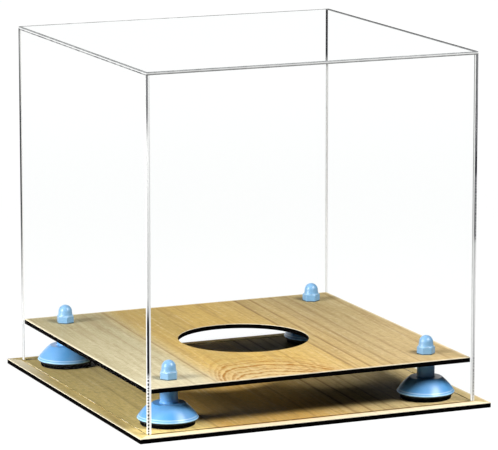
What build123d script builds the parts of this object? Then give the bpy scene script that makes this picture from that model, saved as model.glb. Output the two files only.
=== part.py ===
from build123d import *
from math import radians, tan
import os

os.makedirs("parts", exist_ok=True)

# Display case: a clear cover on a base board, with a raised platform inside it.
# Millimetres, +Z up, +X to the right along the front, +Y to the back.
# The origin is the middle of the base board's underside.

# driving dimensions: the two boards
core_thick = 3.5  # black fibreboard core
face_thick = 0.5  # maple laminate face
base_side = 303.0
platform_side = 277.0
platform_top = 40.0
seat_radius = 54.0  # round seat hole in the middle of the platform

# driving dimensions: the clear cover, a cube that is open underneath
cover_side = 284.0
cover_height = 284.0
wall = 2.5
corner_round = 1.4  # outer upright corners
top_round = 0.7  # upper rim
foot_break = 0.3  # lower rim that stands on the base

# driving dimensions: the four risers
riser_pitch = 224.0
pad_radius = 20.75
pad_thick = 3.1
pad_round = 0.6
spigot_radius = 19.0
spigot_high = 1.0
rim_bottom_radius = 21.7
rim_radius = 23.5
rim_high = 2.3  # from the rim's underside up to its widest circle
shoulder_radius = 13.1
shoulder_level = 21.1  # above the floor
flank_bulge = 0.45
neck_radius = 7.15
neck_fillet = 1.1
edge_round = 0.45
shell_wall = 2.4
boss_radius = 10.0
rib_count = 6
rib_thick = 1.6
rib_root = 1.2  # how far the ribs run into the shell

# driving dimensions: M8 bolts and cap nuts
bolt_radius = 3.95
bolt_length = 35.0
bolt_reach = 10.0  # length of thread inside the nut
thread_pitch = 1.25
thread_deep = 0.55
thread_turns = 16
thread_end = 1.0
bolt_hole_radius = 4.2
spanner_size = 13.0
pocket_slack = 0.2
head_high = 5.3
nut_hex_high = 6.5
nut_high = 15.2
dome_radius = 6.05
dome_draft = 0.35  # the dome's foot is wider than its shoulder by this
nut_bore_radius = 4.0
nut_bore_deep = 11.0
chamfer_radius = 6.2  # where the turned chamfer leaves the hexagon's top
chamfer_outside = 8.5  # past the hexagon's corners
chamfer_angle = 40.0
dome_sunk = 1.0  # the dome's lowest turn, inside the hexagon

# levels that follow from them
base_top = core_thick + face_thick
platform_underside = platform_top - base_top
cover_bottom = base_top
cover_top = cover_bottom + cover_height
roof_underside = cover_top - wall
wall_high = roof_underside - cover_bottom
pad_top = base_top + pad_thick
rim_level = pad_top + rim_high
head_bearing = platform_top + bolt_reach - bolt_length
chamfer_drop = (chamfer_outside - chamfer_radius) * tan(radians(chamfer_angle))
half_pitch = riser_pitch / 2
near = 0.01  # for picking edges by their radius

# each riser's name, its side in X and Y, and how far its nut was turned when it was tightened
risers = [
    ("front_left", -1, -1, 3.0),
    ("front_right", 1, -1, 42.0),
    ("back_left", -1, 1, 20.0),
    ("back_right", 1, 1, 33.0),
]


def save(piece, name):
    piece.part.label = name
    export_step(piece.part, f"parts/{name}.step")


# plane through a riser's axis: its x is the radius and its y is the height
def upright(x, y):
    return Plane(origin=(x, y, 0), x_dir=(1, 0, 0), z_dir=(0, -1, 0))


# level plane that is centred on a riser
def lying(x, y, level):
    return Plane(origin=(x, y, level))


# round edges of one radius on a piece
def rings_of(piece, radius):
    rings = piece.edges().filter_by(GeomType.CIRCLE)
    return rings.filter_by(lambda e: abs(e.radius - radius) < near)


# base board: a plain black core with a maple face on it
with BuildPart() as base_core:
    with BuildSketch():
        Rectangle(base_side, base_side)
    extrude(amount=core_thick)
save(base_core, "base_core")

with BuildPart() as base_face:
    with BuildSketch(Plane.XY.offset(core_thick)):
        Rectangle(base_side, base_side)
    extrude(amount=face_thick)
save(base_face, "base_face")


# platform board: the same make-up, with a round seat and four bolt holes through it
def platform_layer(level, thick):
    with BuildPart() as layer:
        with BuildSketch(Plane.XY.offset(level)):
            Rectangle(platform_side, platform_side)
            Circle(seat_radius, mode=Mode.SUBTRACT)
            with GridLocations(riser_pitch, riser_pitch, 2, 2):
                Circle(bolt_hole_radius, mode=Mode.SUBTRACT)
        extrude(amount=thick)
    return layer


save(platform_layer(platform_underside, core_thick), "platform_core")
save(platform_layer(platform_underside + core_thick, face_thick), "platform_face")

# cover: side panels over the full depth, front and back between them, and the roof over all four
for name, side in (("cover_left", -1), ("cover_right", 1)):
    middle = side * (cover_side - wall) / 2
    with BuildPart() as side_panel:
        with BuildSketch(Plane.XY.offset(cover_bottom)):
            with Locations((middle, 0)):
                Rectangle(wall, cover_side)
        extrude(amount=wall_high)
        uprights = side_panel.edges().filter_by(Axis.Z)
        outside = uprights.group_by(Axis.X)[0 if side < 0 else -1]
        fillet(outside, radius=corner_round)
        chamfer(side_panel.faces().sort_by(Axis.Z)[0].edges(), length=foot_break)
    save(side_panel, name)

for name, side in (("cover_front", -1), ("cover_back", 1)):
    middle = side * (cover_side - wall) / 2
    with BuildPart() as cross_panel:
        with BuildSketch(Plane.XY.offset(cover_bottom)):
            with Locations((0, middle)):
                Rectangle(cover_side - 2 * wall, wall)
        extrude(amount=wall_high)
        foot = cross_panel.faces().sort_by(Axis.Z)[0]
        chamfer(foot.edges().filter_by(Axis.X), length=foot_break)
    save(cross_panel, name)

with BuildPart() as cover_roof:
    with BuildSketch(Plane.XY.offset(roof_underside)):
        RectangleRounded(cover_side, cover_side, corner_round)
    extrude(amount=wall)
    fillet(cover_roof.faces().sort_by(Axis.Z)[-1].edges(), radius=top_round)
save(cover_roof, "cover_roof")


# riser foot: a moulded cone and neck, cored out from below, with a hexagonal pocket for the bolt's head
def riser_foot(x, y):
    axis = Axis((x, y, 0), (0, 0, 1))
    cavity_top = shoulder_level - shell_wall
    cavity_radius = rim_bottom_radius - shell_wall
    flank_middle = ((rim_radius + shoulder_radius) / 2, (rim_level + shoulder_level) / 2)
    with BuildPart() as foot:
        with BuildSketch(upright(x, y)):
            with BuildLine():
                Polyline((0, pad_top), (rim_bottom_radius, pad_top), (rim_radius, rim_level))
                ThreePointArc(
                    (rim_radius, rim_level),
                    (flank_middle[0] + flank_bulge, flank_middle[1] + flank_bulge),
                    (shoulder_radius, shoulder_level),
                )
                Polyline(
                    (shoulder_radius, shoulder_level),
                    (neck_radius, shoulder_level),
                    (neck_radius, platform_underside),
                    (0, platform_underside),
                    (0, pad_top),
                )
            make_face()
        revolve(axis=axis)
        fillet(rings_of(foot, neck_radius).sort_by(Axis.Z)[0], radius=neck_fillet)
        fillet(rings_of(foot, rim_radius), radius=edge_round)
        fillet(rings_of(foot, shoulder_radius), radius=edge_round)
        # the hollow between the shell and the central boss
        with BuildSketch(upright(x, y)):
            with BuildLine():
                Polyline(
                    (0, pad_top),
                    (cavity_radius, pad_top),
                    (cavity_radius, rim_level),
                    (shoulder_radius - shell_wall / 2, cavity_top),
                    (0, cavity_top),
                    (0, pad_top),
                )
            make_face()
        revolve(axis=axis, mode=Mode.SUBTRACT)
        # boss and ribs, which stop above the pad's spigot
        with BuildSketch(lying(x, y, pad_top + spigot_high)):
            Circle(boss_radius)
            with PolarLocations(cavity_radius / 2, rib_count):
                Rectangle(cavity_radius + 2 * rib_root, rib_thick)
            Circle(cavity_radius + rib_root, mode=Mode.INTERSECT)
        extrude(until=Until.NEXT)
        with BuildSketch(lying(x, y, pad_top + spigot_high)):
            RegularPolygon((spanner_size + pocket_slack) / 2, 6, major_radius=False)
        extrude(amount=head_bearing - pad_top - spigot_high, mode=Mode.SUBTRACT)
        with BuildSketch(lying(x, y, head_bearing)):
            Circle(bolt_hole_radius)
        extrude(amount=platform_underside - head_bearing, mode=Mode.SUBTRACT)
    return foot


# riser pad: a rubber disc with a spigot that presses into the foot
def riser_pad(x, y):
    with BuildPart() as pad:
        with BuildSketch(lying(x, y, base_top)):
            Circle(pad_radius)
        extrude(amount=pad_thick)
        with BuildSketch(lying(x, y, pad_top)):
            Circle(spigot_radius)
        extrude(amount=spigot_high)
        rings = pad.edges().filter_by(GeomType.CIRCLE)
        fillet(rings.sort_by(Axis.Z)[0], radius=pad_round)
    return pad


# riser bolt: hexagon head in the foot's pocket, shank up through the neck and the board
def riser_bolt(x, y):
    axis = Axis((x, y, 0), (0, 0, 1))
    tip = head_bearing + bolt_length
    core_radius = bolt_radius - thread_deep
    thread_start = tip - thread_end - thread_turns * thread_pitch
    with BuildPart() as bolt:
        with BuildSketch(lying(x, y, head_bearing - head_high)):
            RegularPolygon(spanner_size / 2, 6, major_radius=False)
        extrude(amount=head_high)
        with BuildSketch(upright(x, y)):
            with BuildLine():
                outline = [(0, head_bearing), (bolt_radius, head_bearing), (bolt_radius, thread_start)]
                for turn in range(thread_turns):
                    foot_level = thread_start + turn * thread_pitch
                    outline.append((core_radius, foot_level + thread_pitch / 2))
                    outline.append((bolt_radius, foot_level + thread_pitch))
                outline.append((bolt_radius - thread_end, tip))
                outline.append((0, tip))
                Polyline(*outline, close=True)
            make_face()
        revolve(axis=axis)
    return bolt


# cap nut: a turned-down hexagon with a dome over the end of the bolt
def cap_nut(x, y, turned):
    axis = Axis((x, y, 0), (0, 0, 1))
    dome_top_radius = dome_radius - dome_draft
    dome_level = platform_top + nut_high - dome_top_radius
    hex_level = platform_top + nut_hex_high
    hidden_level = hex_level - dome_sunk
    turned_plane = Plane(origin=(x, y, platform_top)).rotated((0, 0, turned))
    with BuildPart() as nut:
        with BuildSketch(turned_plane):
            RegularPolygon(spanner_size / 2, 6, major_radius=False)
        extrude(amount=nut_hex_high)
        with BuildSketch(upright(x, y)):
            with BuildLine():
                Polyline(
                    (0, platform_top),
                    (chamfer_outside, platform_top),
                    (chamfer_outside, hex_level - chamfer_drop),
                    (chamfer_radius, hex_level),
                    (0, hex_level),
                    close=True,
                )
            make_face()
        revolve(axis=axis, mode=Mode.INTERSECT)
        with BuildSketch(upright(x, y)):
            with BuildLine():
                Polyline(
                    (0, platform_top + nut_high),
                    (0, hidden_level),
                    (dome_radius, hidden_level),
                    (dome_radius, hex_level),
                    (dome_top_radius, dome_level),
                )
                CenterArc((0, dome_level), dome_top_radius, 0, 90)
            make_face()
        revolve(axis=axis)
        with BuildSketch(lying(x, y, platform_top)):
            Circle(nut_bore_radius)
        extrude(amount=nut_bore_deep, mode=Mode.SUBTRACT)
    return nut


for corner, side_x, side_y, turned in risers:
    x = side_x * half_pitch
    y = side_y * half_pitch
    save(riser_pad(x, y), f"pad_{corner}")
    save(riser_foot(x, y), f"foot_{corner}")
    save(riser_bolt(x, y), f"bolt_{corner}")
    save(cap_nut(x, y, turned), f"cap_nut_{corner}")
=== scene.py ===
import bpy
import bmesh
from math import pi, radians
from mathutils import Matrix, Vector

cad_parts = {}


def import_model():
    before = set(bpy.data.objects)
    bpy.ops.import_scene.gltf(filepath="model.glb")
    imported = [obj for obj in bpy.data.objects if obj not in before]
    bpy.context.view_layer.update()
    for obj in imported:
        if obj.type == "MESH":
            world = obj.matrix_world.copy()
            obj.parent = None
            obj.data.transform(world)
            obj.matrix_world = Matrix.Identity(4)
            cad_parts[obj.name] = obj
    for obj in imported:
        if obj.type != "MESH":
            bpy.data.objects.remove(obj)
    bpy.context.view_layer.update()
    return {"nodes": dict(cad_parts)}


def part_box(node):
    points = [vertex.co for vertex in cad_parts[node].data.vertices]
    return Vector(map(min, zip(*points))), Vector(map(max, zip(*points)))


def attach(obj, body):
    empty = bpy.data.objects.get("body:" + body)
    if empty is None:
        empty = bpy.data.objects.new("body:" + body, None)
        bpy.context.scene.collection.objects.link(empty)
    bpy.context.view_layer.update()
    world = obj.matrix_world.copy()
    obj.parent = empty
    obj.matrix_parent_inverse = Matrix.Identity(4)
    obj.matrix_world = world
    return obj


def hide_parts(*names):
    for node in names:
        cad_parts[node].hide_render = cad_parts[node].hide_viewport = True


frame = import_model()
mm = 0.001
print("frame loaded")

soft = 0.35  # how softly a painted line ends, in mm
# the output of a Light Path node that tells each kind of ray
rayKinds = {"camera": 0, "shadow": 1, "glossy": 3, "reflected": 5, "through": 6}


# one output of a shader node, so that its maths can be written plainly
class Wire:
    def __init__(self, tree, socket):
        self.tree = tree
        self.socket = socket

    def maths(self, operation, *others):
        return addNode(self.tree, "ShaderNodeMath", {"operation": operation}, [self, *others])

    def __add__(self, other):
        return self.maths("ADD", other)

    def __sub__(self, other):
        return self.maths("SUBTRACT", other)

    def __rsub__(self, other):
        return (self * -1) + other

    def __mul__(self, other):
        return self.maths("MULTIPLY", other)

    def __truediv__(self, other):
        return self.maths("DIVIDE", other)

    def __pow__(self, power):
        return self.maths("POWER", power)

    def __abs__(self):
        return self.maths("ABSOLUTE")

    __radd__ = __add__
    __rmul__ = __mul__

    def most(self, other):
        return self.maths("MAXIMUM", other)

    # 0 below low, 1 above high, smooth between
    def rise(self, low, high):
        settings = {"interpolation_type": "SMOOTHSTEP", "clamp": True}
        return addNode(self.tree, "ShaderNodeMapRange", settings, [self, low, high, 0.0, 1.0])

    # from 0 to 1 around a place: how far before it the change starts, how far after it the change ends
    def step(self, place, before, after):
        return self.rise(place - before, place + after)

    # nothing below low, the full strength above high
    def above(self, low, high, strength):
        return self.rise(low, high) * strength

    # the full strength below low, nothing above high
    def below(self, low, high, strength):
        return (1 - self.rise(low, high)) * strength

    # 1 on a line at a place, 0 a little away from it
    def line(self, place, half, fade=soft):
        return 1 - abs(self - place).rise(half - fade / 2, half + fade / 2)

    # 1 between two places
    def band(self, low, high, fade=soft):
        return self.rise(low - fade / 2, low + fade / 2) * (1 - self.rise(high - fade / 2, high + fade / 2))


# adds a node: its settings first, then what goes into its sockets, by place or by name
def addNode(tree, kind, settings, inputs, output=0):
    node = tree.nodes.new(kind)
    for name, value in settings.items():
        setattr(node, name, value)
    pairs = inputs.items() if isinstance(inputs, dict) else enumerate(inputs)
    for key, value in pairs:
        if isinstance(value, Wire):
            tree.links.new(value.socket, node.inputs[key])
        elif isinstance(value, tuple):  # a colour
            node.inputs[key].default_value = (*value, 1)
        else:
            node.inputs[key].default_value = value
    return Wire(tree, node.outputs[output]) if node.outputs else None


# a material under construction, with the object's own coordinates in millimetres
class Finish:
    def __init__(self, name):
        self.material = bpy.data.materials.new(name)
        self.material.use_nodes = True
        self.tree = self.material.node_tree
        self.tree.nodes.clear()
        metres = self.add("ShaderNodeTexCoord", {}, {}, 3)  # Object coordinates
        self.place = self.add("ShaderNodeVectorMath", {"operation": "SCALE"}, {0: metres, "Scale": 1 / mm})
        self.x, self.y, self.z = [self.add("ShaderNodeSeparateXYZ", {}, [self.place], n) for n in range(3)]

    def add(self, kind, settings, inputs, output=0):
        return addNode(self.tree, kind, settings, inputs, output)

    def ray(self, kind):
        return self.add("ShaderNodeLightPath", {}, {}, rayKinds[kind])

    # noise with this size of mark, in mm, over the whole piece
    def noise(self, size, detail=2.0, rough=0.5):
        values = {"Vector": self.place, "Scale": 1 / size, "Detail": detail, "Roughness": rough}
        return self.add("ShaderNodeTexNoise", {}, values)

    # noise at coordinates of its own, with marks about 1 across
    def noiseAt(self, x, y, z, detail=2.0, rough=0.5):
        at = self.add("ShaderNodeCombineXYZ", {}, [x, y, z])
        values = {"Vector": at, "Scale": 1.0, "Detail": detail, "Roughness": rough}
        return self.add("ShaderNodeTexNoise", {}, values)

    # noise in streaks that run along Y
    def streaks(self, across, wide, long, seed, detail=2.0, rough=0.5):
        return self.noiseAt(across / wide, self.y / long, seed, detail, rough)

    # a Mix node of colours: its sockets 6 and 7 and its output 2 are the colour ones
    def blend(self, share, low, high):
        return self.add("ShaderNodeMix", {"data_type": "RGBA"}, {0: share, 6: low, 7: high}, 2)

    def bump(self, height, strength, distance):
        values = {"Height": height, "Strength": strength, "Distance": distance * mm}
        return self.add("ShaderNodeBump", {}, values)

    def surface(self, values):
        return self.add("ShaderNodeBsdfPrincipled", {}, values)

    def close(self, shader):
        self.add("ShaderNodeOutputMaterial", {}, [shader])
        return self.material


# the boards
maple = {
    "dark": (0.22, 0.12, 0.045),
    # pale tone for light marks in the grain, also used for painted light and highlights
    "cutEdge": (0.98, 0.88, 0.66),
    "middleBoard": (-81.0, 37.5),  # the sheet shows three boards side by side
    # how far the change of colour reaches on either side of a joint
    "softJoint": (14.0, 16.0),
    "sharpJoint": (1.5, 1.5),
    "slowJoint": (0.0, 50.0),
    "sharpShare": 0.6,  # the part of the second joint's change that is sharp
    # the right board's colour comes in before the second joint: from where, how far past it, how strong
    "besideJoint": (-5.0, 2.0, 0.35),
    "lean": 0.045,  # how far the lines run to the right on their way back
    "drift": 6.0,  # how far they stray from side to side, in mm
    "driftMark": (110, 160),
    # marks in the wood: width and length in mm, place in the noise, detail, roughness
    "bands": (34, 420, 4.1),
    "stripes": (6.5, 150, 7.7, 3.0),
    "grain": (2.2, 60, 1.3, 2.0, 0.6),
    "pores": (1.1, 16, 9.2, 1.0),
    "waves": (24, 90, 2.0, 1.0),
    "mottle": (4.5, 3.0, 0.65),  # size, detail, roughness
    # where in the noise a mark sets in and is full, and how strong it is
    "bandShade": (0.42, 0.72, 0.22),
    "stripeShade": (0.46, 0.76, 0.26),
    "grainShade": (0.50, 0.74, 0.26),
    "poreShade": (0.58, 0.74, 0.22),
    "grainLight": (0.26, 0.46, 0.12),
    "mottleShade": (0.46, 0.70),
    "mottleLight": (0.30, 0.46, 0.10),
    # painted shade: the sheet darkens towards the back: by this share at the left, less in the middle, more
    # at the right
    "backShadeReach": (-125, 150),
    "backShadeShare": 0.50,
    "backShadeLess": (-90, 0, 0.25),
    "backShadeMore": (20, 100, 0.22),
    "frontLightTo": (-20, 45),  # the painted light at the front left fades out between these
    "stripEnds": (8.6, 9.2),  # how far in from the rim the painted light on the strip outside the cover ends
    "stripLeft": (50, 145, 1.3),  # the left strip gets painted light between these, and how much more
    "rimHighlight": (0.0, 3.0, 0.55),  # painted highlight: the rim is pale this far in
    "ownEdge": (0.10, 0.05),  # painted highlight: the cut edge is pale from the first depth down, and not above the second
    "relief": {"grain": 0.012, "pores": 0.008, "waves": 0.3, "strength": 0.3, "distance": 0.4},
    "coatRough": 0.14,
    "mattness": 0.45,
    "grainMatt": 0.2,
}
# long dark lines of late growth, sharp on the left and fading to the right
growth = {
    "wander": 2.0,
    "wanderMark": (400, 45, 3.3),
    "brokenMark": (16, 28, 5.0),
    "broken": (0.28, 0.52, 0.35),  # where along its run a line is stronger, and how much
    "faintest": 0.40,
    # how far before and after its two sides a line comes and goes
    "leftSide": (0.5, 0.3),
    "rightSide": (0.4, 2.4),
    # place at the front edge, half width, strength
    "seams": (
        (-119.0, 0.4, 0.25), (-101.0, 0.4, 0.30), (-82.5, 0.55, 0.70), (2.5, 0.4, 0.45),
        (37.5, 0.65, 0.90), (51.0, 0.6, 0.80), (62.5, 0.45, 0.45), (70.5, 0.5, 0.65),
        (84.0, 0.6, 0.45), (95.0, 0.4, 0.30), (121.0, 0.4, 0.35),
    ),
}
# the flat-sawn figure near the front of the platform, rings that run out over the front edge
arches = {
    "colour": (0.36, 0.15, 0.022),
    "middle": -40.0,
    "openRight": 0.60,  # the rings open out to the right
    # noise that bends the rings, slow and fine: size, detail, roughness, and by how many mm
    "ripple": (15, 4.0, 0.6),
    "rippleBy": 15.0,
    "tremble": (5, 2.0),
    "trembleBy": 5.0,
    "sideways": 0.5,  # the part of the tremble that goes sideways
    "curve": 3.0,  # a ring falls away from its tip with this power of the distance
    "breadth": 1.5,  # the unit of a line's breadth at a ring's tip, in mm
    "spread": 1.6,  # how much that unit grows down the ring's sides
    # in those units: where a line comes in before the ring, and goes behind it
    "inFront": (-2.6, -0.3),
    "behind": (0.3, 1.1),
    "startsBy": 3,  # mm after the middle board's left joint
    "endsFrom": (22, 4),  # mm before its right one
    "least": 0.50,
    "mottled": (0.38, 0.58, 0.45),  # the rings are stronger where the mottle is
    # how far back each ring reaches, its half width at the front edge, its strength
    "rings": (
        (-46.0, 46.0, 0.15), (-66.0, 44.0, 0.35), (-79.0, 41.0, 0.45),
        (-86.0, 38.5, 0.85), (-98.0, 35.5, 1.00), (-104.0, 32.5, 0.40),
        (-111.0, 29.0, 0.80), (-121.0, 25.5, 1.00), (-131.5, 14.0, 0.70),
    ),
}
platformSheet = {
    "left": (0.58, 0.51, 0.325),
    "middle": (0.645, 0.42, 0.118),
    "right": (0.575, 0.42, 0.205),
    # dark tone for the bands and mottle, and for the painted shade towards the back
    "back": (0.26, 0.22, 0.095),
    "shift": 0.0,  # moves the whole pattern sideways, in mm
    "mottle": 0.22,
    # how much painted light the front of the sheet gets
    "frontLight": 0.20,
    # how much painted light the strip outside the cover gets
    "stripLight": 0.0,
    "coat": 0.06,
}
baseSheet = {
    "left": (0.86, 0.66, 0.25),
    "middle": (0.61, 0.355, 0.087),
    "right": (0.63, 0.48, 0.23),
    # dark tone for the bands and mottle, and for the painted shade towards the back
    "back": (0.34, 0.28, 0.12),
    "shift": 6.0,
    "mottle": 0.34,
    # how much painted light the front of the sheet gets
    "frontLight": 0.0,
    "stripLight": 0.62,  # how much painted light the strip outside the cover gets
    "coat": 0.04,
}


def seamMarks(f, across, shift):
    wander = (f.streaks(f.x, *growth["wanderMark"]) - 0.5) * growth["wander"]
    broken = f.streaks(f.x, *growth["brokenMark"]).above(*growth["broken"])
    seams = 0.0
    for place, half, strength in growth["seams"]:
        off = across + wander - (place + shift)
        mark = off.step(-half, *growth["leftSide"]) * (1 - off.step(half, *growth["rightSide"]))
        seams = (mark * strength).most(seams)
    return seams * (growth["faintest"] + broken)


def archMarks(f, across, mottle, side):
    first, last = maple["middleBoard"]
    ripple = (f.noise(*arches["ripple"]) - 0.5) * arches["rippleBy"]
    tremble = (f.noise(*arches["tremble"]) - 0.5) * arches["trembleBy"]
    off = across - arches["middle"] + tremble * arches["sideways"]
    away = (off * -1).most(off * arches["openRight"])
    figure = 0.0
    for back, reach, strength in arches["rings"]:
        drop = side / 2 + back
        share = away / reach
        fall = share ** arches["curve"] * drop
        breadth = arches["breadth"] + share ** (arches["curve"] - 1) * (arches["spread"] * drop / reach)
        off = (f.y + ripple + tremble - back + fall) / breadth
        mark = off.rise(*arches["inFront"]) * (1 - off.rise(*arches["behind"]))
        figure = (mark * strength).most(figure)
    fading, gone = arches["endsFrom"]
    comes = across.rise(first, first + arches["startsBy"])
    goes = across.rise(last - fading, last - gone)
    figure = figure * comes * (1 - goes)
    return figure * (arches["least"] + mottle.above(*arches["mottled"]))


def mapleLaminate(name, sheet, low, high, figured):
    f = Finish(name)
    side = (high[0] - low[0]) / mm
    top = high[2] / mm
    shift = sheet["shift"]
    across = f.x - (f.y + side / 2) * maple["lean"] + shift
    drift = (f.streaks(f.x, *maple["driftMark"], shift, 1.0) - 0.5) * maple["drift"]
    loose = across + drift
    marks = ("bands", "stripes", "grain", "pores")
    bands, stripes, grain, pores = [f.streaks(loose, *maple[mark]) for mark in marks]
    # the three boards
    first, last = maple["middleBoard"]
    colour = f.blend(across.step(first, *maple["softJoint"]), sheet["left"], sheet["middle"])
    sharp = across.step(last, *maple["sharpJoint"]) * maple["sharpShare"]
    slow = across.step(last, *maple["slowJoint"]) * (1 - maple["sharpShare"])
    colour = f.blend(sharp + slow, colour, sheet["right"])
    start, past, strength = maple["besideJoint"]
    beside = across.rise(start, last) * across.below(last, last + past, strength)
    colour = f.blend(beside, colour, sheet["right"])
    # painted shade towards the back
    far = maple["backShadeShare"] - across.above(*maple["backShadeLess"]) + across.above(*maple["backShadeMore"])
    colour = f.blend(f.y.rise(*maple["backShadeReach"]) * far, colour, sheet["back"])
    # the marks in them
    colour = f.blend(bands.above(*maple["bandShade"]), colour, sheet["back"])
    colour = f.blend(stripes.above(*maple["stripeShade"]), colour, maple["dark"])
    colour = f.blend(grain.above(*maple["grainShade"]), colour, maple["dark"])
    colour = f.blend(pores.above(*maple["poreShade"]), colour, maple["dark"])
    colour = f.blend(grain.below(*maple["grainLight"]), colour, maple["cutEdge"])
    mottle = f.noise(*maple["mottle"])
    colour = f.blend(mottle.above(*maple["mottleShade"], sheet["mottle"]), colour, sheet["back"])
    colour = f.blend(mottle.below(*maple["mottleLight"]), colour, maple["cutEdge"])
    # painted light: the wood at the front left is paler, under the seams and the arches
    frontLit = f.y.below(-side / 2, -side / 4, sheet["frontLight"]) * (1 - across.rise(*maple["frontLightTo"]))
    colour = f.blend(frontLit, colour, maple["cutEdge"])
    colour = f.blend(seamMarks(f, across, shift), colour, maple["dark"])
    if figured:
        colour = f.blend(archMarks(f, across, mottle, side), colour, arches["colour"])
    # painted light: the strip outside the cover is paler in front, and towards the back left corner
    inward = side / 2 - abs(f.x).most(abs(f.y))
    inFront = (f.y * -1 - abs(f.x)).rise(-1, 1)
    atLeft = (f.x * -1 - abs(f.y)).rise(-1, 1) * f.y.above(*maple["stripLeft"])
    litStrip = inward.below(*maple["stripEnds"], sheet["stripLight"]) * (inFront + atLeft)
    colour = f.blend(litStrip, colour, maple["cutEdge"])
    # painted highlight on the eased rim, and on the sheet's own cut edge, which is painted lighter than its
    # face
    colour = f.blend(inward.below(*maple["rimHighlight"]), colour, maple["cutEdge"])
    full, none = maple["ownEdge"]
    colour = f.blend(1 - f.z.rise(top - full, top - none), colour, maple["cutEdge"])
    relief = maple["relief"]
    waves = f.streaks(f.x, *maple["waves"])
    height = grain * relief["grain"] + pores * relief["pores"] + waves * relief["waves"]
    return f.close(f.surface({
        "Base Color": colour,
        "Roughness": maple["mattness"] + grain * maple["grainMatt"],
        "Specular IOR Level": 0.0,
        "Coat Weight": sheet["coat"],
        "Coat Roughness": maple["coatRough"],
        "Normal": f.bump(height, relief["strength"], relief["distance"]),
    }))


blackCore = {
    "face": (0.0008, 0.0007, 0.0007),
    "edge": (0.0030, 0.0024, 0.0020),
    "grit": (0.7, 3.0, 0.6),
    "gritLevels": (0.35, 0.75),
    "sawMark": (1.4, 8.0),  # width and height of an upright mark of the saw
    "roughness": 0.80,
    "shine": 0.004,
}


def blackFibreboard():
    f = Finish("black fibreboard")
    grit = f.noise(*blackCore["grit"])
    wide, tall = blackCore["sawMark"]
    strikes = f.noiseAt(f.x / wide, f.y / wide, f.z / tall)
    return f.close(f.surface({
        "Base Color": f.blend(grit.rise(*blackCore["gritLevels"]), blackCore["face"], blackCore["edge"]),
        "Roughness": blackCore["roughness"] + strikes * 0.2,
        "Specular IOR Level": blackCore["shine"],
        "Normal": f.bump(grit * 0.5 + strikes * 0.5, 0.4, 0.15),
    }))


# the risers
plastic = {
    "foot": {
        "pale": (0.140, 0.380, 0.740),
        "deep": (0.080, 0.320, 0.670),
        "shine": 0.16,
        "drawn": 0.50,  # how far highlights stretch up and down
        "coat": 0.85,
    },
    "nut": {
        "pale": (0.190, 0.390, 0.625),
        "deep": (0.150, 0.340, 0.580),
        "shine": 0.22,
        "drawn": 0.75,
        "coat": 1.0,
    },
    "flow": (16, 3.0),  # slow changes of colour in the moulding
    "flowLevels": (0.35, 0.75),
    "roughness": 0.26,
    "gloss": 0.42,  # roughness of the broad gloss over the whole surface
    "rimHigh": 2.3,  # the foot's widest circle, above the pad
    "paintedBand": (0.50, 0.72, 0.92),  # painted highlight round the foot's rim
    "highlightBand": (0.5, 1.3),
    "highlightShare": 0.6,
    # painted light: the undercut below the foot's rim is paler
    "underRimLight": (0.34, 0.62, 0.93),
    "lowestBlack": (0.004, 0.006, 0.010),  # the foot's lowest part, just above the pad, is black
    "lowestBlackBand": (0.7, 1.0),  # it ends this far above the pad
    "lowestBlackMatt": 0.5,
    "chamferHighlight": (0.42, 0.64, 0.82),  # painted highlight on the chamfer on top of a nut's hexagon
    "collarHigh": 6.2,
    "collarHalf": 0.45,
    "collarShare": 0.6,
    "contact": (0.010, 0.040, 0.055),  # shadow line under a nut
    "contactHalf": 0.75,
    "contactShare": 0.9,
}


def blueMoulding(name, look):
    f = Finish(name)
    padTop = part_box("pad_front_left")[1][2] / mm
    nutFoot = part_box("cap_nut_front_left")[0][2] / mm
    rim = padTop + plastic["rimHigh"]
    flow = f.noise(*plastic["flow"])
    grain = f.noise(0.4)
    orangePeel = f.noise(2.4, 1.0)
    colour = f.blend(flow.rise(*plastic["flowLevels"]), look["pale"], look["deep"])
    # a painted highlight in a band round the foot's rim
    low, high = plastic["highlightBand"]
    colour = f.blend(f.z.band(rim + low, rim + high) * plastic["highlightShare"], colour, plastic["paintedBand"])
    # painted light below the foot's rim
    colour = f.blend(1 - f.z.rise(rim - 0.3, rim), colour, plastic["underRimLight"])
    # painted highlight on the chamfer on top of the nut's hexagon
    chamferHighlight = f.z.line(nutFoot + plastic["collarHigh"], plastic["collarHalf"]) * plastic["collarShare"]
    colour = f.blend(chamferHighlight, colour, plastic["chamferHighlight"])
    contact = f.z.line(nutFoot, plastic["contactHalf"]) * plastic["contactShare"]
    colour = f.blend(contact, colour, plastic["contact"])
    # the foot's lowest part above the pad is black and matt, without the coat
    low, high = plastic["lowestBlackBand"]
    lowestBlack = 1 - f.z.rise(padTop + low, padTop + high)
    colour = f.blend(lowestBlack, colour, plastic["lowestBlack"])
    return f.close(f.surface({
        "Base Color": colour,
        "Roughness": plastic["roughness"] + grain * 0.06 + lowestBlack * plastic["lowestBlackMatt"],
        "Specular IOR Level": look["shine"],
        "Anisotropic": look["drawn"],
        "Anisotropic Rotation": 0.25,
        "Coat Weight": (1 - lowestBlack) * look["coat"],
        "Coat Roughness": plastic["gloss"],
        "Normal": f.bump(orangePeel * 0.7 + grain * 0.15, 0.12, 0.10),
    }))


rubber = {
    "low": (0.0010, 0.0010, 0.0010),
    "high": (0.0040, 0.0038, 0.0040),
    "grain": (0.5, 3.0, 0.65),
    "shine": 0.006,
}


def blackRubber():
    f = Finish("black rubber")
    grain = f.noise(*rubber["grain"])
    return f.close(f.surface({
        "Base Color": f.blend(grain.rise(0.3, 0.8), rubber["low"], rubber["high"]),
        "Roughness": 0.62 + grain * 0.2,
        "Specular IOR Level": rubber["shine"],
        "Normal": f.bump(grain, 0.4, 0.08),
    }))


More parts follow.
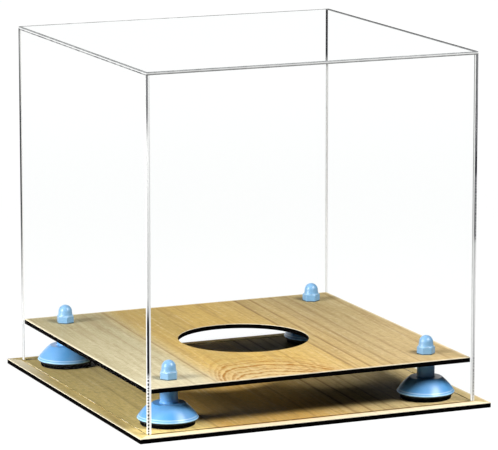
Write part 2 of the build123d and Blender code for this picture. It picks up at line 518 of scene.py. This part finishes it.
zinc = {"blue": (0.60, 0.61, 0.63), "yellow": (0.74, 0.74, 0.72), "roughness": 0.26}


def zincPlate():
    f = Finish("zinc plated steel")
    turned = f.noiseAt(f.x, f.y, f.z * 3)
    cloud = f.noise(6)
    return f.close(f.surface({
        "Base Color": f.blend(cloud.rise(0.3, 0.7), zinc["blue"], zinc["yellow"]),
        "Metallic": 1.0,
        "Roughness": zinc["roughness"] + turned * 0.16,
        "Normal": f.bump(turned, 0.15, 0.05),
    }))


# the clear cover
cover = {
    "cornerRound": 1.4,
    "topRound": 0.7,
    "footBreak": 0.3,
    "gap": 0.02,  # so that faces that meet don't lie in one plane
    "cornerStripReach": 0.9,  # pale strip in the cut edge's finish beside a cemented corner
    "paintedBand": 1.8,  # painted shade: a dark band under the roof along the right wall, this wide
    "ior": 1.49,
    "tint": (0.995, 0.998, 0.997),
    "shade": (0.985, 0.985, 0.985),  # what a lamp's light keeps at each face
    "sheen": 0.02,  # the share of the full mirror image that the polished sheet shows
}
roofLow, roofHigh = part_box("cover_roof")
coverHalf = roofHigh[0] / mm
coverTop = roofHigh[2] / mm
coverWall = (roofHigh[2] - roofLow[2]) / mm
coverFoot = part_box("cover_left")[0][2] / mm
coverInner = coverHalf - coverWall
roofUnder = coverTop - coverWall


# polished faces: shadow rays and rays thrown back from a surface go straight through, the rest are bent
def clearSheet():
    f = Finish("clear acrylic")
    bent = f.add("ShaderNodeBsdfRefraction", {}, [cover["tint"], 0.0, cover["ior"]])
    mirrored = f.add("ShaderNodeBsdfAnisotropic", {}, {"Color": (1.0, 1.0, 1.0), "Roughness": 0.0})
    fresnel = f.add("ShaderNodeFresnel", {}, [cover["ior"]])
    glass = f.add("ShaderNodeMixShader", {}, [fresnel * cover["sheen"], bent, mirrored])
    through = f.add("ShaderNodeBsdfTransparent", {}, {"Color": cover["shade"]})
    inner = f.add("ShaderNodeMixShader", {}, [f.ray("reflected"), glass, through])
    return f.close(f.add("ShaderNodeMixShader", {}, [f.ray("shadow"), inner, through]))


cutSides = {
    "bright": (0.64, 0.65, 0.64),
    "grey": (0.14, 0.145, 0.15),
    "dark": (0.010, 0.009, 0.016),
    "footWood": (0.44, 0.35, 0.155),  # the lower rim shows the colour of the board it stands on
    # painted shade line inside the front wall's lower rim
    "footShade": (0.12, 0.06, 0.025),
    "footGlints": (0.54, 0.60, 0.8),
    "sawPitch": 2.5,  # mm from one saw mark to the next
    "sawStray": 11,  # how far noise shifts them, in radians
    "bite": (9, 3.0, 0.7),  # noise that breaks up the cement line: size, detail, roughness
    # heights on the uprights, in mm: where a change starts, where it is done, how strong it is
    "sawnFoot": (48, 54),
    "nearTop": (228, 262, 0.62),
    "nearLow": (90, 114, 0.80),
    "rightThin": (132, 142, 0.5),
    "rightSolid": (180, 192),
    "rightFade": (235, 262, 0.35),
    "rightOuter": (100, 170, 0.55),
    "backLeft": (25, 140, 0.90),
    "backLeftFade": (215, 275, 0.30),
    "backRight": (234, 248, 0.88),
    # saw marks: from and to, in mm, and how softly they end
    "sawnRight": (136, 186, 6),
    "sawnRightFoot": (8, 42, 6),
    # light that the sheet leads out at its edges
    "glow": 0.13,
    "lowGlow": (60, 150, 0.18),
    "nearFootGlow": 0.14,
}


# cut edges of the sheet, painted with light and shade: bright, with grey lines of painted reflection, and
# painted dark where the light is led away
# places across the thickness of a wall are in mm from its inner or its outer face
def cutAcrylic():
    f = Finish("cut acrylic edge")
    half, inner, top = coverHalf, coverInner, coverTop
    ax, ay = abs(f.x), abs(f.y)
    right = f.x.rise(-1, 1)
    left = 1 - right
    back = f.y.rise(-1, 1)
    front = 1 - back
    walls = 1 - f.z.rise(roofUnder - 0.02, roofUnder + 0.02)
    roof = 1 - walls
    teeth = f.noiseAt(f.x / 25, f.y / 25, f.z / 3)
    uneven = f.noiseAt(f.x / 25, f.y / 25, f.z / 6)
    strokes = f.z * (2 * pi / cutSides["sawPitch"]) + uneven * cutSides["sawStray"]
    clean = 1 - strokes.maths("SINE").rise(0.05, 0.45)
    bitten = f.noise(*cutSides["bite"]).rise(0.40, 0.62)
    # near left corner, painted shade: dark at the top and lower down, faint between, with saw marks at its
    # foot
    core = ax.band(inner + 0.45, half - 0.35, 0.3)
    lowest = 1 - f.z.rise(*cutSides["sawnFoot"])
    spot = ax.line(inner + 1.4, 0.58)
    depth = 0.20 + f.z.above(*cutSides["nearTop"]) + f.z.below(*cutSides["nearLow"])
    nearLeft = left * front * (core * (1 - lowest)).most(spot * lowest * clean) * depth
    # front right corner, painted shade: solid at the top, saw marks below that and near its foot, a thin
    # line all along
    coreRight = ax.band(inner + 0.35, half - 0.15, 0.3)
    marked = coreRight * f.z.band(*cutSides["sawnRight"]) * 0.85
    marked = marked.most(ax.line(inner + 0.9, 0.45) * f.z.band(*cutSides["sawnRightFoot"]) * 0.65)
    thin = ax.line(inner + 0.35, 0.40) * (0.45 + f.z.above(*cutSides["rightThin"]))
    solid = coreRight * f.z.rise(*cutSides["rightSolid"]) * (1 - f.z.above(*cutSides["rightFade"]))
    frontRight = right * front * solid.most(marked * clean).most(thin)
    outerGrey = right * front * coreRight * (0.12 + f.z.above(*cutSides["rightOuter"]))
    # back corners, painted shade: darker with height on the left, dark near the roof on the right
    rising = (0.04 + f.z.above(*cutSides["backLeft"])) * (1 - f.z.above(*cutSides["backLeftFade"]))
    backLeft = left * back * ax.rise(inner - 0.3, inner - 0.1) * rising
    backRight = right * back * (0.10 + f.z.above(*cutSides["backRight"]))
    darkness = nearLeft.most(frontRight).most(backLeft).most(backRight) * walls
    # rim of the roof, painted reflection and shade: two grey lines, the lower one dark in places at the
    # left, and the right side all dark
    atFront = front * ay.rise(half - 1, half - 0.8)
    elsewhere = 1 - atFront
    rimLine = f.z.line(top - 0.30, 0.45) * (0.85 + bitten * 0.15)
    bondLine = f.z.line(roofUnder + 0.50, 0.50) * (0.70 + bitten * 0.30 - atFront * 0.50)
    rim = roof * ax.rise(inner - 2.3, inner - 2.1) * (1 - front * ay.rise(inner, inner + 0.2))
    greyness = rimLine.most(bondLine).most(outerGrey * walls).most(roof * left * elsewhere * 0.22)
    darkness = darkness.most(rim * right).most(bondLine * bitten * left * elsewhere * 0.7)
    colour = f.blend(greyness, cutSides["bright"], cutSides["grey"])
    colour = f.blend(darkness, colour, cutSides["dark"])
    # the lower rim: the board's colour with glints, and a painted shade line inside the front wall
    foot = 1 - f.z.rise(coverFoot + 0.40, coverFoot + 0.45)
    glints = f.noise(16, 1.0).above(*cutSides["footGlints"])
    footColour = f.blend(glints, cutSides["footWood"], maple["cutEdge"])
    inside = (1 - ay.rise(half - 0.8, half - 0.6)) * (1 - ax.rise(inner - 1, inner))
    footColour = f.blend(inside * front, footColour, cutSides["footShade"])
    colour = f.blend(foot, colour, footColour)
    nearFoot = lowest * left * front * cutSides["nearFootGlow"]
    led = cutSides["glow"] + f.z.below(*cutSides["lowGlow"]) + nearFoot
    glow = (1 - darkness) * (1 - greyness * 0.9) * (1 - foot) * led
    return f.close(f.surface({
        "Base Color": colour,
        "Roughness": 0.18 + teeth * 0.04,
        "Specular IOR Level": 0.15,
        "Emission Color": f.blend(glow, (0.0, 0.0, 0.0), (1.0, 1.0, 1.0)),
        "Emission Strength": 1.0,
    }))


black = blackFibreboard()
footBlue = blueMoulding("sky blue moulded plastic", plastic["foot"])
nutBlue = blueMoulding("paler blue moulded plastic", plastic["nut"])
clear = clearSheet()
cutEdge = cutAcrylic()
# a node takes the finish that the start of its name gives
finishes = {
    "base_core": black,
    "platform_core": black,
    "foot_": footBlue,
    "cap_nut_": nutBlue,
    "pad_": blackRubber(),
    "bolt_": zincPlate(),
    "platform_face": mapleLaminate("maple of the platform", platformSheet, *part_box("platform_face"), True),
    "base_face": mapleLaminate("maple of the base", baseSheet, *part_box("base_face"), False),
}
for name, node in frame["nodes"].items():
    for start, material in finishes.items():
        if name.startswith(start):
            for place in node.material_slots:
                place.material = material
print("finishes made")

# how faces and edges are picked
pick = {
    "slack": 0.1,  # an edge this near to a plane lies in it, in mm
    "flat": 0.99,  # a face's normal this near to an axis lies along it
    "facing": 0.9,  # and this near, it looks or runs mostly that way
    "skin": 1.0,  # a face that is this many mm further in is not the outer one
}


# turns a bmesh in millimetres into a piece that stands for a node
def makePiece(mesh, name, body, materials, node):
    bmesh.ops.transform(mesh, matrix=Matrix.Scale(mm, 4), verts=mesh.verts)
    data = bpy.data.meshes.new(name)
    mesh.to_mesh(data)
    mesh.free()
    for material in materials:
        data.materials.append(material)
    piece = bpy.data.objects.new(name, data)
    bpy.context.scene.collection.objects.link(piece)
    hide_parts(node)
    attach(piece, body)


def coverPiece(mesh, name, node):
    makePiece(mesh, name, "cover", [clear, cutEdge], node)


# a plain block between two corners, in millimetres
def block(low, high):
    mesh = bmesh.new()
    bmesh.ops.create_cube(mesh, size=1)
    size = [b - a for a, b in zip(low, high)]
    bmesh.ops.scale(mesh, vec=size, verts=mesh.verts)
    bmesh.ops.translate(mesh, vec=[(a + b) / 2 for a, b in zip(low, high)], verts=mesh.verts)
    return mesh


def roundOff(mesh, chosen, radius, steps):
    edges = [e for e in mesh.edges if chosen(e)]
    shape = {"affect": "EDGES", "segments": steps, "profile": 0.5, "material": -1}
    bmesh.ops.bevel(mesh, geom=edges, offset=radius, offset_type="OFFSET", **shape)


def along(e, axis):
    run = e.verts[0].co - e.verts[1].co
    return abs(run[axis]) > pick["facing"] * run.length


def middle(e):
    return (e.verts[0].co + e.verts[1].co) / 2


def atFoot(e):
    return middle(e).z < coverFoot + pick["slack"]


def cutAt(mesh, point, normal):
    geom = mesh.verts[:] + mesh.edges[:] + mesh.faces[:]
    bmesh.ops.bisect_plane(mesh, geom=geom, plane_co=point, plane_no=normal, dist=0.0001)


# the left and right walls run the full depth, and carry the rounded corners
def sideWall(name, side):
    near, far = sorted((side * coverInner, side * coverHalf))
    low = (near, -coverHalf, coverFoot + cover["gap"])
    high = (far, coverHalf, roofUnder - cover["gap"])
    mesh = block(low, high)
    outermost = coverHalf - pick["slack"]
    roundOff(mesh, lambda e: along(e, 2) and middle(e).x * side > outermost, cover["cornerRound"], 5)
    roundOff(mesh, atFoot, cover["footBreak"], 1)
    for y in (-coverInner, coverInner):
        cutAt(mesh, (0, y, 0), (0, 1, 0))
    for face in mesh.faces:
        centre = face.calc_center_median()
        flat = abs(face.normal.x) > pick["flat"]
        bonded = abs(centre.x) < coverHalf - pick["skin"] and abs(centre.y) > coverInner
        standing = face.normal.z < -pick["facing"]
        face.material_index = 0 if standing or flat and not bonded else 1
        face.smooth = not flat and abs(face.normal.z) < 1 - pick["facing"]
    coverPiece(mesh, "clear_wall_" + name, "cover_" + name)


# the front and back walls stand between the side walls
def crossWall(name, side):
    reach = coverInner - cover["gap"]
    near, far = sorted((side * coverInner, side * coverHalf))
    low = (-reach, near, coverFoot + cover["gap"])
    high = (reach, far, roofUnder - cover["gap"])
    mesh = block(low, high)
    roundOff(mesh, lambda e: atFoot(e) and along(e, 0), cover["footBreak"], 1)
    # a pale strip in the cut edge's finish at each end of the wall
    stripFrom = reach - cover["cornerStripReach"]
    for x in (-stripFrom, stripFrom):
        cutAt(mesh, (x, 0, 0), (1, 0, 0))
    for face in mesh.faces:
        flat = abs(face.normal.y) > pick["flat"]
        inCornerStrip = abs(face.calc_center_median().x) > stripFrom
        standing = face.normal.z < -pick["facing"]
        face.material_index = 0 if standing or flat and not inCornerStrip else 1
    coverPiece(mesh, "clear_wall_" + name, "cover_" + name)


def roofPanel():
    mesh = block((-coverHalf, -coverHalf, roofUnder), (coverHalf, coverHalf, coverTop))
    roundOff(mesh, lambda e: along(e, 2), cover["cornerRound"], 5)
    roundOff(mesh, lambda e: middle(e).z > coverTop - pick["slack"], cover["topRound"], 4)
    for reach in (-coverInner, coverInner):
        cutAt(mesh, (reach, 0, 0), (1, 0, 0))
        cutAt(mesh, (0, reach, 0), (0, 1, 0))
    # painted shade: along the right wall the roof's underside takes the cut edge's finish this much further
    # in, where it is painted dark
    cutAt(mesh, (coverInner - cover["paintedBand"], 0, 0), (1, 0, 0))
    for face in mesh.faces:
        centre = face.calc_center_median()
        flat = abs(face.normal.z) > pick["flat"]
        overWall = max(centre.x + cover["paintedBand"], abs(centre.x), abs(centre.y)) > coverInner
        bonded = face.normal.z < -pick["facing"] and overWall
        face.material_index = 0 if flat and not bonded else 1
        face.smooth = not flat
    coverPiece(mesh, "clear_roof", "cover_roof")


# cap nuts: the solid's own shape with every corner eased
capNut = {
    "ease": 0.32,
    "foot": 0.55,  # the ease round the foot
    "steps": 2,
    "sharpFrom": 25,  # an edge that turns by this many degrees is eased
    "skirt": 5.2,  # edges nearer to the axis belong to the bore
    "smoothBelow": 6,  # faces smaller than this, in square mm, are shaded smooth
    "merge": 0.01,  # points nearer than this are one, in mm
}


def easedNut(corner):
    name = "cap_nut_" + corner
    mesh = bmesh.new()
    mesh.from_mesh(frame["nodes"][name].data)
    bmesh.ops.transform(mesh, matrix=Matrix.Scale(1 / mm, 4), verts=mesh.verts)
    bmesh.ops.remove_doubles(mesh, verts=mesh.verts, dist=capNut["merge"])
    bmesh.ops.dissolve_limit(mesh, angle_limit=radians(1), verts=mesh.verts, edges=mesh.edges)
    low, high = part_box(name)
    axis = (Vector(low) + Vector(high)) / 2 / mm
    outside = {e for e in mesh.edges if (middle(e).xy - axis.xy).length > capNut["skirt"]}
    sharp = {e for e in outside if e.is_manifold and e.calc_face_angle() > radians(capNut["sharpFrom"])}
    bottom = low[2] / mm + capNut["merge"]
    standing = {e for e in sharp if middle(e).z < bottom}
    roundOff(mesh, lambda e: e in sharp and e not in standing, capNut["ease"], capNut["steps"])
    roundOff(mesh, lambda e: e in standing, capNut["foot"], capNut["steps"])
    for face in mesh.faces:
        face.smooth = face.calc_area() < capNut["smoothBelow"]
    makePiece(mesh, "eased_nut_" + corner, "platform", [nutBlue], name)


for corner in ("front_left", "front_right", "back_left", "back_right"):
    easedNut(corner)
print("nuts made")

sideWall("left", -1)
sideWall("right", 1)
crossWall("front", -1)
crossWall("back", 1)
roofPanel()
print("cover made")

studio = {
    "floorSize": 40.0,
    "floorColour": (0.10, 0.10, 0.10),  # what lights the part from below
    # what only the camera, mirrors and the clear sheet see: near the part, and far off
    "floorGlow": (0.93, 1.0),
    "glowReach": (0.5, 1.8),
    "dome": 0.12,  # light from above
    "domeFrom": (0.30, 0.80),  # how steeply a direction points up where it sets in and is full
    "darkSide": 0.04,  # what mirrors see in front and at the right, where no lit card stands
    "aim": (0, 0, 0.1),
    "lamps": {
        "softbox_left": {
            "from": (-0.985, -0.12, 0.40), "away": 1.7, "wide": 0.8, "high": 0.50, "power": 32.0,
        },
        "card_left": {
            "from": (-1.0, 0.0, 0.11), "away": 1.7, "wide": 0.6, "high": 0.26, "power": 11.0,
        },
        "softbox_front": {
            "from": (0.52, -0.80, 0.92), "away": 1.3, "wide": 0.65, "high": 0.34, "power": 20.0,
        },
    },
}


# what mirrors see on a bearing: full at the left and behind, less at the front right
def cards(x, y):
    return studio["darkSide"] + (y * 0.8 - x).above(-0.3, 0.3, 1 - studio["darkSide"])


def floor():
    f = Finish("pale floor")
    plain = f.add("ShaderNodeBsdfDiffuse", {}, {"Color": studio["floorColour"]})
    off = (f.x * f.x + f.y * f.y) ** 0.5 * mm
    dim, full = studio["floorGlow"]
    level = off.above(*studio["glowReach"], full - dim) + dim
    direct = f.ray("camera").most(f.ray("through"))
    level = level * (direct + (1 - direct) * cards(f.x * mm / off, f.y * mm / off))
    glow = f.add("ShaderNodeEmission", {}, {"Color": f.blend(level, (0.0, 0.0, 0.0), (1.0, 1.0, 1.0))})
    both = f.add("ShaderNodeAddShader", {}, [plain, glow])
    shown = direct.most(f.ray("glossy"))
    material = f.close(f.add("ShaderNodeMixShader", {}, [shown, plain, both]))
    mesh = bmesh.new()
    bmesh.ops.create_grid(mesh, x_segments=4, y_segments=4, size=studio["floorSize"] / 2)
    data = bpy.data.meshes.new("floor")
    mesh.to_mesh(data)
    mesh.free()
    data.materials.append(material)
    ground = bpy.data.objects.new("floor", data)
    bpy.context.scene.collection.objects.link(ground)


def world():
    sky = bpy.data.worlds.new("studio")
    bpy.context.scene.world = sky
    sky.use_nodes = True
    sky.cycles.sampling_method = "NONE"
    tree = sky.node_tree
    tree.nodes.clear()
    kinds = [rayKinds[kind] for kind in ("camera", "glossy", "through")]
    seen, mirrored, glazed = [addNode(tree, "ShaderNodeLightPath", {}, {}, n) for n in kinds]
    direction = addNode(tree, "ShaderNodeTexCoord", {}, {}, 0)
    x, y, up = [addNode(tree, "ShaderNodeSeparateXYZ", {}, [direction], n) for n in range(3)]
    dome = up.above(*studio["domeFrom"], studio["dome"])
    strength = seen.most(glazed).most(mirrored * cards(x, y)).most(dome)
    background = addNode(tree, "ShaderNodeBackground", {}, [(1.0, 1.0, 1.0), strength])
    addNode(tree, "ShaderNodeOutputWorld", {}, [background])


def lamp(name, settings):
    data = bpy.data.lights.new(name, "AREA")
    data.shape = "RECTANGLE"
    data.size = settings["wide"]
    data.size_y = settings["high"]
    data.energy = settings["power"]
    softbox = bpy.data.objects.new(name, data)
    bpy.context.scene.collection.objects.link(softbox)
    aim = Vector(studio["aim"])
    softbox.location = aim + Vector(settings["from"]).normalized() * settings["away"]
    softbox.rotation_euler = (softbox.location - aim).to_track_quat("Z", "Y").to_euler()
    softbox.visible_camera = False


floor()
world()
for name, settings in studio["lamps"].items():
    lamp(name, settings)

cameraSettings = {
    "place": (-1.162770, -2.693155),
    "aboveBoard": 0.691823,  # above the base's top
    "down": 0.18919,  # radians below level
    "turn": 0.40927,  # radians to the right of straight ahead
    "lens": 263.9988,
    "sensor": 36.0,
    "clip": 200.0,
}
cameraData = bpy.data.cameras.new("camera")
cameraData.sensor_width = cameraSettings["sensor"]
cameraData.sensor_fit = "HORIZONTAL"
cameraData.lens = cameraSettings["lens"]
cameraData.clip_end = cameraSettings["clip"]
camera = bpy.data.objects.new("camera", cameraData)
camera.location = (*cameraSettings["place"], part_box("base_face")[1][2] + cameraSettings["aboveBoard"])
camera.rotation_euler = (pi / 2 - cameraSettings["down"], 0, -cameraSettings["turn"])
bpy.context.scene.collection.objects.link(camera)
bpy.context.scene.camera = camera
bpy.context.scene.view_settings.view_transform = "Standard"
print("studio set")
